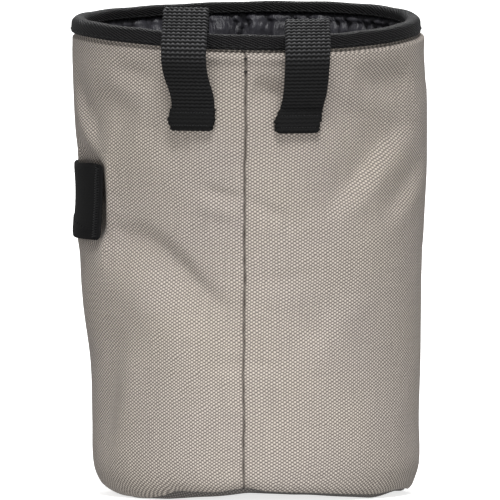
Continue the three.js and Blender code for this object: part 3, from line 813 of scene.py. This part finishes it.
def along_curve(points, t):
    """A smooth curve through points, read at t from 0 to 1, with each stretch paced by its length."""
    points = np.asarray(points, float)
    before = 2 * points[0] - points[1]
    after = 2 * points[-1] - points[-2]
    all_points = np.concatenate([[before], points, [after]])
    at = t * (len(points) - 1)
    k = np.clip(np.floor(at).astype(int), 0, len(points) - 2)
    u = (at - k)[:, None]
    p0, p1, p2, p3 = (all_points[k + n] for n in range(4))
    gap0, gap1, gap2 = (
        np.sqrt(np.linalg.norm(b - a, axis=1))[:, None] for a, b in ((p0, p1), (p1, p2), (p2, p3))
    )
    slope1 = ((p1 - p0) / gap0 - (p2 - p0) / (gap0 + gap1) + (p2 - p1) / gap1) * gap1
    slope2 = ((p2 - p1) / gap1 - (p3 - p1) / (gap1 + gap2) + (p3 - p2) / gap2) * gap1
    cubic = 2 * p1 - 2 * p2 + slope1 + slope2
    square = -3 * p1 + 3 * p2 - 2 * slope1 - slope2
    return p1 + slope1 * u + square * u**2 + cubic * u**3


def ribbon_faces(stations, widths):
    """The faces of a ribbon with two sides, each widths points across, closed at both its ends."""
    size = 2 * widths
    a = np.arange(widths - 1)
    b = size - 1 - a
    end = np.stack([a, a + 1, b - 1, b], -1)
    far_end = (end + (stations - 1) * size)[:, ::-1]
    return np.concatenate([grid_faces(stations, size, False, True)[:, ::-1], end, far_end])


def make_strap(name, strap):
    turn = np.degrees(np.arcsin((strap["x"] - rim_shift) / rim_half_width))
    origin = rim_point(turn, 0.0, 0.0)
    out_way = rim_point(turn, 1.0, 0.0) - origin
    side_way = np.cross([0, 0, 1], out_way)
    radius = np.hypot(rim_half_width * np.cos(np.radians(turn)), rim_half_depth * np.sin(np.radians(turn)))

    def nearest(width, lift):
        """The nearest that a strap may come to the bag at a width and lift, outside it and inside it."""
        width, lift = (np.asarray(a, float) for a in np.broadcast_arrays(width, lift))
        here = np.full(width.shape, turn)
        for _ in range(3):
            across = (smooth_wall(here, up_at(here, origin[2] + lift)) - origin) @ side_way
            here = here + np.degrees((width - across) / radius)
        up = up_at(here, origin[2] + lift)
        beside = (origin[2] + lift > rim_height(here) + neck_lift)[..., None]
        outside_point = np.where(beside, rim_point(here, binding_half, 0.0), wall_point(here, up, 0.0 * up))
        inside_point = np.where(beside, rim_point(here, -binding_half, 0.0), lining_point(here, up, cloth))
        outside = (outside_point - origin) @ out_way + 0.15
        inside = (inside_point - origin) @ out_way - sewn_gap
        return outside, inside

    knee_out = binding_half + stand + web_thickness / 2

    def slide(out, lift):
        sway = np.array(strap["sway"], float)
        place = curve_through(sway[:, 0], sway[:, 1], np.clip(lift, -30, 8))
        lean = np.where(out > 0, place - strap["x"], 0)
        return (lean - out * out_way[0]) / side_way[0]

    half = web_thickness / 2
    sewn_top = -sewn_drop + sewn_length

    def on_wall(lift):
        return float(nearest(slide(np.array(knee_out), np.array(lift)), lift)[0]) + web_thickness * 0.92

    inner = -binding_half - sewn_gap - half
    inner_end = float(nearest(0.0, -inner_drop)[1]) - half
    to_wall = (on_wall(sewn_top) - knee_out) * 0.55
    to_sewn_top = (sewn_top - strap["knee"]) * 0.6
    path_points = [
        (inner_end, -inner_drop, half),
        (inner_end + (inner - inner_end) * 0.7, -inner_drop * 0.5, half),
        (inner - 0.5, 0, half),
        (inner - 0.2, strap["rise"] * 0.55, half),
        (-binding_half * 0.35, strap["rise"], half),
        (binding_half * 1.15, strap["rise"] * 0.62, half),
        (knee_out, strap["knee"], half),
        (knee_out + to_wall, strap["knee"] + to_sewn_top, half),
        (on_wall(sewn_top + 0.8), sewn_top + 0.8, half * 1.1),
        (on_wall(sewn_top - 1.2), sewn_top - 1.2, web_thickness * 0.95),
        (on_wall(-sewn_drop + 1.0), -sewn_drop + 1.0, web_thickness * 0.95),
        (on_wall(-sewn_drop) - 0.25, -sewn_drop, web_thickness * 0.55),
    ]
    fine_t = np.linspace(0, 1, 1500)
    fine = along_curve(path_points, fine_t)
    lengths = np.concatenate([[0], np.cumsum(np.linalg.norm(np.diff(fine[:, :2], axis=0), axis=1))])
    stations = 470
    along = np.linspace(0, lengths[-1], stations)
    path = np.stack([np.interp(along, lengths, fine[:, k]) for k in range(3)], -1)
    tangent = unit(np.gradient(path[:, :2], axis=0))
    normal = np.stack([-tangent[:, 1], tangent[:, 0]], -1)

    widths = 78
    share = np.sin(np.linspace(-np.pi / 2, np.pi / 2, widths)) * 0.15 + np.linspace(-1, 1, widths) * 0.85
    outside_run = path[:, 0] > 0
    narrowed = np.where(outside_run, smoothstep(-path[:, 1], -strap["knee"], sewn_drop - sewn_length), 0)
    half_width = (web_width + (web_sewn_width - web_width) * narrowed) / 2
    to_end = lengths[-1] - along
    tab_start = sewn_drop - sewn_length
    on_tab = smoothstep(-path[:, 1], tab_start - 0.8, tab_start + 0.6) * outside_run
    lumps = 0.35 + 0.28 * np.sin(along * 1.7 + strap["x"]) + 0.16 * np.sin(along * 3.9)
    half_width = half_width + lumps * on_tab - 1.5 * np.clip(1 - to_end / 2.4, 0, 1) ** 2
    across = share[None, :] * half_width[:, None]
    edge = np.sqrt(np.clip(1 - np.abs(share) ** 14, 0, 1))[None, :]
    curl = 2 * rim_half_width**2 / rim_half_depth

    def face(side):
        """Where the webbing's face is before its relief, side 1 away from the bag and -1 towards it."""
        offset = side * path[:, 2][:, None] * (0.25 + 0.75 * edge)
        width = across + slide(path[:, 0], path[:, 1])[:, None]
        free = path[:, 0][:, None] + normal[:, 0][:, None] * offset - across**2 / curl
        lift_here = path[:, 1][:, None] + normal[:, 1][:, None] * offset
        limit_out, limit_in = nearest(width, np.broadcast_to(path[:, 1][:, None], width.shape))
        thick = path[:, 2][:, None] + offset
        held = np.where(
            outside_run[:, None],
            np.maximum(free, limit_out + thick * 0.9),
            np.minimum(free, limit_in - (2 * path[:, 2][:, None] - thick)),
        )
        out = np.where((path[:, 1] < neck_lift)[:, None], held, free)
        blend = smoothstep(-path[:, 1], -neck_lift, -neck_lift + 4)[:, None]
        out = free + (out - free) * blend
        points = origin + side_way * width[..., None] + out_way * out[..., None]
        points[..., 2] = origin[2] + lift_here
        return points

    # The relief of the weave: ribs across the strap, each bent into small scallops by the floats.
    wave = np.abs(((across / float_width) % 1) - 0.5) * 2
    s = along[:, None] + 0.36 * wave + 0.05 * np.sin(across * 1.3 + along[:, None] * 0.7)
    spread = smoothstep(path[:, 1], strap["fold"] - 2.5, strap["fold"] + 1.5)[:, None]
    rib = np.abs(np.cos(np.pi * s / rib_pitch)) ** (0.85 + 0.25 * spread)
    beads = 0.86 + 0.14 * np.cos(2 * np.pi * across / float_width)
    relief = (0.44 + 0.2 * spread) * rib * beads
    selvedge = smoothstep(np.abs(share), 0.955, 0.995)[None, :]
    relief = relief * (1 - 0.7 * selvedge)
    tufts = 0.09 * np.sin(across * 5.1 + along[:, None] * 3.3)
    felted = 0.22 + 0.14 * rib + tufts * np.sin(along[:, None] * 4.7 - across * 2.2)
    relief = relief * (1 - on_tab[:, None]) + felted * on_tab[:, None]

    def dressed(side):
        bare = face(side)
        lengthwise = np.gradient(bare, axis=0)
        crosswise = np.gradient(bare, axis=1)
        facing = np.cross(lengthwise, crosswise)
        facing /= np.linalg.norm(facing, axis=-1, keepdims=True) + 1e-9
        middle = facing[stations // 2, widths // 2]
        away = bare[stations // 2, widths // 2] - (face(-side)[stations // 2, widths // 2])
        if middle @ away < 0:
            facing = -facing
        return bare + facing * (relief - 0.42)[..., None]

    outer, inner_side = dressed(1), dressed(-1)
    loop_points = np.concatenate([outer, inner_side[:, ::-1]], 1)
    lateral = np.concatenate([across, across[:, ::-1]], 1)
    cloth_map = np.stack([lateral, np.broadcast_to(along[:, None], lateral.shape)], -1)
    faces = [ribbon_faces(stations, widths)]
    piece = make_piece(name, loop_points, faces, [strap["node"]], cloth_map)
    return piece, outer


material, tree = new_material("black polypropylene webbing", 0.34, sheen=0.0, specular=0.22)
_, across, up = on_cloth(tree)
fibres = cloth_noise(tree, 2.4, 7.0, 2.0)
in_float = maths(tree, "FRACT", maths(tree, "DIVIDE", across, float_width))
wave = maths(tree, "ABSOLUTE", maths(tree, "SUBTRACT", in_float, 0.5))
rib_place = maths(tree, "MULTIPLY_ADD", wave, 0.72, up)
rib = maths(tree, "ABSOLUTE", waves(tree, "COSINE", rib_place, 2 * rib_pitch))
# Darker in the grooves between the ribs: partly the webbing's own darker fibres, partly painted shade in the
# grooves.
groove_shade_and_fibres = maths(tree, "MULTIPLY", maths(tree, "POWER", rib, 1.6), fibres)
colour = blended(tree, groove_shade_and_fibres, (0.0005, 0.0005, 0.0006, 1), (0.028, 0.028, 0.029, 1))

# Over the arch, where the ribs stand open, the rib crests are painted a paler grey: a painted highlight. The
# same share makes them glossier. The sewn ends are felted and darker. Both are told by how high a place is,
# in metres.
arch_foot = 0.1455
felt_top = 0.132
place = node(tree, "ShaderNodeTexCoord").outputs["Object"]
level = node(tree, "ShaderNodeSeparateXYZ", place).outputs[2]
arch_gloss_and_highlight = maths(tree, "MULTIPLY", maths(tree, "SUBTRACT", level, arch_foot), 130.0, clamp=True)
felted = maths(tree, "MULTIPLY", maths(tree, "SUBTRACT", felt_top, level), 500.0, clamp=True)
bead = waves(tree, "COSINE", across, float_width)
bead = maths(tree, "MULTIPLY_ADD", bead, 0.35, 0.65)
# The painted highlight: the rib crests over the arch are lightened towards pale grey.
painted_highlight = maths(tree, "MULTIPLY", maths(tree, "POWER", rib, 8.0), maths(tree, "MULTIPLY", bead, arch_gloss_and_highlight))
painted_highlight = maths(tree, "MULTIPLY", painted_highlight, maths(tree, "MULTIPLY_ADD", fibres, 1.6, 0.1), clamp=True)
colour = blended(tree, painted_highlight, colour, (0.16, 0.16, 0.165, 1))
colour = blended(tree, maths(tree, "MULTIPLY", felted, 0.6), colour, (0.0005, 0.0005, 0.0006, 1))
gloss = maths(tree, "MULTIPLY", maths(tree, "POWER", rib, 0.5), arch_gloss_and_highlight)
roughness = maths(tree, "MULTIPLY_ADD", gloss, -0.4, 0.85)
tree.links.new(roughness, tree.nodes["Principled BSDF"].inputs["Roughness"])

strap_pieces = []
strap_faces = []
for name, strap in belt_loops.items():
    piece, strap_face = make_strap(name, strap)
    strap_pieces.append(piece)
    strap_faces.append(strap_face)
dress(strap_pieces, material, colour, fibres, 0.018, 0.7)

# The brush loop
# A band of smooth black elastic, sewn flat to the wall at both its ends, with a column of zigzag stitches
# at the end that shows from the back.
band_turns = np.linspace(band_from, band_to, 150)
band_rows = np.linspace(-1, 1, 66)
band_thickness = 1.2
band_turn, band_row = np.meshgrid(band_turns, band_rows, indexing="ij")
from_end = np.minimum(band_turn - band_from, band_to - band_turn) * np.radians(1) * mean_radius
end_slant = 3.3
band_turn = band_turn - end_slant * (1 - band_row) / 2 * (band_turn - band_from) / band_spread
corner = np.clip(1 - from_end / 2.2, 0, 1)
half_here = band_height / 2 - 1.5 * (1 - np.sqrt(np.clip(1 - corner**2, 0, 1)))
band_z = band_middle + band_row * half_here
band_up = up_at(band_turn, band_z)
band_normal = wall_normal(band_turn, band_up)
dent_free = smooth_wall(band_turn, band_up) - band_normal * cloth_press(band_turn, band_up)[..., None]
rounded_side = np.sqrt(np.clip(1 - np.abs(band_row) ** 16, 0, 1))
rounded_end = np.sqrt(np.clip(1 - np.clip(1 - from_end / 0.5, 0, 1) ** 2, 0, 1))
rounded = rounded_side * rounded_end
ribbing = 0.012 * np.cos(2 * np.pi * band_row * half_here / 0.9)
pressed = 0.28 * np.exp(-(((from_end - 2.4) / 1.1) ** 2))
middle_out = sewn_gap + band_thickness / 2
outer_half = band_thickness / 2 + ribbing - pressed
outer = dent_free + band_normal * (middle_out + rounded * outer_half)[..., None]
inner_side = dent_free + band_normal * (middle_out - rounded * (band_thickness / 2 - 0.05))[..., None]
band_points = np.concatenate([outer, inner_side[:, ::-1]], 1)
band_along = np.radians(band_turn - band_from) * mean_radius
band_map = np.stack(
    [np.concatenate([band_along, band_along[:, ::-1]], 1), np.concatenate([band_z, band_z[:, ::-1]], 1)], -1
)
band_faces = [ribbon_faces(len(band_turns), len(band_rows))]
brush_band = make_piece("brush_band", band_points, band_faces, ["brush_loop"], band_map)

material, tree = new_material("black elastic", 0.75, sheen=0.01, specular=0.08)
_, across, up = on_cloth(tree)
cords = waves(tree, "SINE", up, 0.9)
knit = waves(tree, "SINE", across, 0.55)
texture = maths(tree, "MULTIPLY_ADD", cords, 0.12, maths(tree, "MULTIPLY_ADD", knit, 0.2, 0.5))
fuzz = cloth_noise(tree, 4.0, 4.0, 2.0)
texture_here = maths(tree, "MULTIPLY", texture, fuzz)
colour = blended(tree, texture_here, (0.004, 0.004, 0.0042, 1), (0.011, 0.011, 0.0115, 1))
dress([brush_band], material, colour, maths(tree, "ADD", texture, fuzz), 0.06, 0.7)

# The stitches
# Bonded thread: a row along the foot of the binding inside and out, rows that fasten the straps' ends, the
# zigzag at the brush loop's end, and two dark stitches that show at the top of the seam.


def thread_bodies(starts, ends, outs, thickness, rise):
    """Short stitches from starts to ends, round in section and bowed outwards by rise."""
    steps, sides = 7, 6
    t = np.linspace(0, 1, steps)
    angle = np.arange(sides) * 2 * np.pi / sides
    along = unit(ends - starts)
    beside = unit(np.cross(along, outs))
    facing = np.cross(beside, along)
    bow = rise * np.sin(np.pi * t) - 0.12 * np.abs(2 * t - 1) ** 3
    middle = starts[:, None] + (ends - starts)[:, None] * t[None, :, None]
    middle = middle + facing[:, None] * bow[None, :, None]
    swell_here = thickness / 2 * (0.55 + 0.45 * np.sin(np.pi * (0.08 + 0.84 * t)))
    ring = (
        beside[:, None, None] * np.cos(angle)[None, None, :, None]
        + facing[:, None, None] * np.sin(angle)[None, None, :, None]
    )
    points = middle[:, :, None] + ring * swell_here[None, :, None, None]
    count = len(starts)
    size = steps * sides
    grid = grid_faces(steps, sides, False, True)
    all_quads = (grid[None] + (np.arange(count) * size)[:, None, None]).reshape(-1, 4)
    first = np.arange(sides)[None] + (np.arange(count) * size)[:, None]
    last_ring = first[:, ::-1] + (steps - 1) * sides
    return points.reshape(-1, 3), [all_quads[:, ::-1], np.concatenate([first, last_ring])]


stitch_bodies = []

# Along the binding, outside and inside.
stitch_pitch = 3.1
whole_rim = rim_length.sum()
count = int(whole_rim / stitch_pitch)
stitch_places = (np.arange(count) + 0.5) / count * whole_rim
stitch_turns = np.interp(stitch_places, np.append(along_tape, whole_rim), np.linspace(-180, 180, 401))
half_turn = 0.5 * 360 / count * 0.72
for side in (1, -1):
    height = -binding_height * (0.31 if side > 0 else 0.16)
    starts = rim_point(stitch_turns - half_turn, side * (binding_half + 0.1), height)
    ends = rim_point(stitch_turns + half_turn, side * (binding_half + 0.1), height)
    outs = rim_point(stitch_turns, side * 1.0, 0.0) - rim_point(stitch_turns, 0.0, 0.0)
    stitch_bodies.append(thread_bodies(starts, ends, outs, 0.42, 0.1))

# Across the straps' sewn ends, two rows of close stitches.
for strap_face in strap_faces:
    stations, widths = strap_face.shape[:2]
    lengthwise = np.gradient(strap_face, axis=0)
    crosswise = np.gradient(strap_face, axis=1)
    facing = unit(np.cross(lengthwise, crosswise))
    if facing[stations // 2, widths // 2, 1] > 0:
        facing = -facing
    for row in (stations - 14, stations - 42):
        at = np.linspace(8, widths - 9, 15).astype(int)
        starts = strap_face[row, at[:-1]]
        ends = strap_face[row, at[1:] - 1]
        stitch_bodies.append(thread_bodies(starts, ends, facing[row, at[:-1]], 0.36, 0.02))

# The zigzag at the back end of the brush loop.
zig_count = 57
zig_z = band_middle + np.linspace(-0.92, 0.92, zig_count) * band_height / 2
zig_turn = band_to - np.where(np.arange(zig_count) % 2, 1.6, 4.6) - end_slant * np.linspace(1, 0, zig_count)
zig_up = up_at(zig_turn, zig_z)
zig_normal = wall_normal(zig_turn, zig_up)
zig_out = (sewn_gap + band_thickness - 0.1 - cloth_press(zig_turn, zig_up))[:, None]
zig = smooth_wall(zig_turn, zig_up) + zig_normal * zig_out
stitch_bodies.append(thread_bodies(zig[:-1], zig[1:], zig_normal[:-1], 0.36, 0.12))

# Over the top of the seam.
seam_z = np.array([147.2, 142.9])
seam_up = up_at(-1.2, seam_z)
seam_ends = []
for step in (-0.6, 0.5):
    seam_turn = seam_at(seam_up) + step
    seam_ends.append(wall_point(seam_turn, seam_up, np.full(2, -0.05)))
seam_normal = wall_normal(seam_at(seam_up), seam_up)
stitch_bodies.append(thread_bodies(seam_ends[0], seam_ends[1], seam_normal, 0.5, 0.1))

all_points = np.concatenate([points for points, _ in stitch_bodies])
offsets = np.cumsum([0] + [len(points) for points, _ in stitch_bodies])[:-1]
quads = np.concatenate([faces[0] + start for (_, faces), start in zip(stitch_bodies, offsets)])
ends_of_thread = np.concatenate([faces[1] + start for (_, faces), start in zip(stitch_bodies, offsets)])
black_stitches = make_piece("black_stitches", all_points, [quads, ends_of_thread])

material, tree = new_material("black thread", 0.55, sheen=0.02, specular=0.25)
place = node(tree, "ShaderNodeTexCoord").outputs["Object"]
twist = noise(tree, place, 2600.0, 1.0)
colour = blended(tree, twist, (0.004, 0.004, 0.0045, 1), (0.014, 0.014, 0.015, 1))
dress([black_stitches], material, colour, twist, 0.05, 0.7)

# The studio
# A pale light table that runs out of sight, soft light from above, from behind and low in front of the foot,
# and a long lens three degrees above level, in line with the seam.
floor_mesh = bpy.data.meshes.new("studio_floor")
floor_reach = 12.0
floor_count = 24
floor_ring = np.linspace(0, 2 * np.pi, 97)[:-1]
floor_radii = floor_reach * np.linspace(0, 1, floor_count + 1)[1:] ** 2
floor_points = [(0.0, 0.0, 0.0)]
for radius in floor_radii:
    floor_points += [(radius * np.cos(a), radius * np.sin(a), 0.0) for a in floor_ring]
floor_faces = [(0, 1 + k, 1 + (k + 1) % 96) for k in range(96)]
for ring_index in range(floor_count - 1):
    for k in range(96):
        a = 1 + ring_index * 96 + k
        b = 1 + ring_index * 96 + (k + 1) % 96
        floor_faces.append((a, a + 96, b + 96, b))
floor_mesh.from_pydata(floor_points, [], floor_faces)
studio_floor = bpy.data.objects.new("studio_floor", floor_mesh)
bpy.context.scene.collection.objects.link(studio_floor)
material, tree = new_material("studio floor", 0.9, specular=0.1)
shader = tree.nodes["Principled BSDF"]
mottle = noise(tree, node(tree, "ShaderNodeTexCoord").outputs["Object"], 1.5, 2.0)
colour = blended(tree, mottle, (0.93, 0.93, 0.93, 1), (0.95, 0.95, 0.95, 1))
tree.links.new(colour, shader.inputs["Base Color"])
tree.links.new(colour, shader.inputs["Emission Color"])
shader.inputs["Emission Strength"].default_value = 0.75
floor_mesh.materials.append(material)

# The floor takes the bag's shadow but throws no light back on it, so the creases show.
studio_floor.visible_diffuse = False
studio_floor.visible_glossy = False

world = bpy.data.worlds.new("studio")
bpy.context.scene.world = world
world.use_nodes = True
tree = world.node_tree
direction = node(tree, "ShaderNodeSeparateXYZ", node(tree, "ShaderNodeTexCoord").outputs["Generated"])
overhead_share = maths(tree, "MULTIPLY", direction.outputs[2], 1.3, clamp=True)
sky = blended(tree, overhead_share, (0.45, 0.45, 0.45, 1), (0.1, 0.1, 0.105, 1))
tree.links.new(sky, tree.nodes["Background"].inputs[0])


def soft_sun(name, strength, spread, elevation, azimuth):
    """Light from far off: elevation above level, and azimuth round from the back of the bag towards +X."""
    light = bpy.data.lights.new(name, "SUN")
    light.energy = strength
    light.angle = np.radians(spread)
    lamp = bpy.data.objects.new(name, light)
    lamp.rotation_euler = (np.radians(90 - elevation), 0, np.radians(azimuth))
    bpy.context.scene.collection.objects.link(lamp)


soft_sun("overhead", 2.8, 20, 60, 4)
soft_sun("fill from behind", 0.9, 30, 35, 180)

# A strip light just in front of the foot of the bag.
strip = bpy.data.lights.new("foot light", "AREA")
strip.shape = "RECTANGLE"
strip.size = 0.9
strip.size_y = 0.05
strip.energy = 0.9
lamp = bpy.data.objects.new("foot light", strip)
lamp.location = (0, -0.25, 0.02)
lamp.rotation_euler = (np.radians(90), 0, 0)
lamp.visible_camera = False
bpy.context.scene.collection.objects.link(lamp)

camera_data = bpy.data.cameras.new("camera")
camera_data.lens = 1296
camera_data.sensor_width = 36
camera_data.clip_start = 0.5
camera_data.clip_end = 60
camera = bpy.data.objects.new("camera", camera_data)
tilt = np.radians(3)
aim = np.array([0.00025, 0, 0.08139])
camera_distance = 6.0
camera.location = aim + camera_distance * np.array([0, -np.cos(tilt), np.sin(tilt)])
camera.rotation_euler = (np.radians(90) - tilt, 0, 0)
bpy.context.scene.collection.objects.link(camera)
bpy.context.scene.camera = camera
bpy.context.scene.view_settings.view_transform = "Standard"
